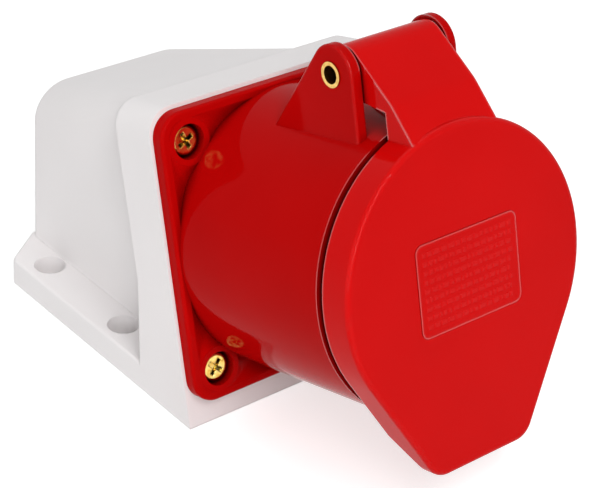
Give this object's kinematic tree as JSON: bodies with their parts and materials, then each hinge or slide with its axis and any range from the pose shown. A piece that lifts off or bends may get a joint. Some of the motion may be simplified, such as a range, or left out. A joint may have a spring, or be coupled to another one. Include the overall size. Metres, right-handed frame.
{
  "type": "industrial surface socket",
  "caption": "Wall-mounted industrial power socket with tilted round sleeve, hinged spring lid with grip tab, flanged on a sloping wall box with foot strips.",
  "frame": {"origin": "centre of the four mounting holes, on the mounting face", "axes": "+Z out of the wall from the mounting face, +Y towards the cable entry, -Y towards the lid, X across"},
  "size_m": [0.076, 0.1605, 0.1067],
  "materials": {
    "white_plastic": "fine satin moulded",
    "red_plastic": "gloss moulded",
    "lid_plastic": "gloss moulded",
    "carrier_plastic": "satin moulded",
    "cover_plastic": "satin moulded",
    "washer_plastic": "satin moulded",
    "gland_plastic": "satin moulded",
    "black_rubber": "matt",
    "contact_brass": "turned, bare",
    "pin_brass": "drawn tube, flared",
    "yellow_zinc": "yellow plated",
    "plated_steel": "bright zinc plated",
    "spring_steel": "drawn wire"
  },
  "bodies": {
    "housing": {"wall_box": "white_plastic", "flange_gasket": "black_rubber", "socket_housing": "red_plastic", "flange_screws": "yellow_zinc", "contact_carrier": "carrier_plastic", "carrier_cover": "cover_plastic", "contact_earth": "contact_brass", "contact_l1": "contact_brass", "contact_l2": "contact_brass", "contact_l3": "contact_brass", "contact_neutral": "contact_brass", "contact_rings": "spring_steel", "terminal_screws": "plated_steel", "carrier_screws": "plated_steel", "cover_screw": "plated_steel", "hinge_pin": "pin_brass", "lid_spring": "spring_steel", "gland_seal": "black_rubber", "gland_washer": "washer_plastic", "gland_nut": "gland_plastic"},
    "cover_lid": {"lid": "lid_plastic", "lid_gasket": "black_rubber"}
  },
  "joints": [
    {"name": "lid_hinge", "type": "hinge", "parent": "housing", "child": "cover_lid", "pos_m": [0, -0.07238, 0.09984], "axis": [-1, 0, 0], "range_deg": [0, 110], "stiffness_Nm_per_rad": 0.04, "springref_deg": -57.3, "deforming": ["lid_spring"]}
  ]
}
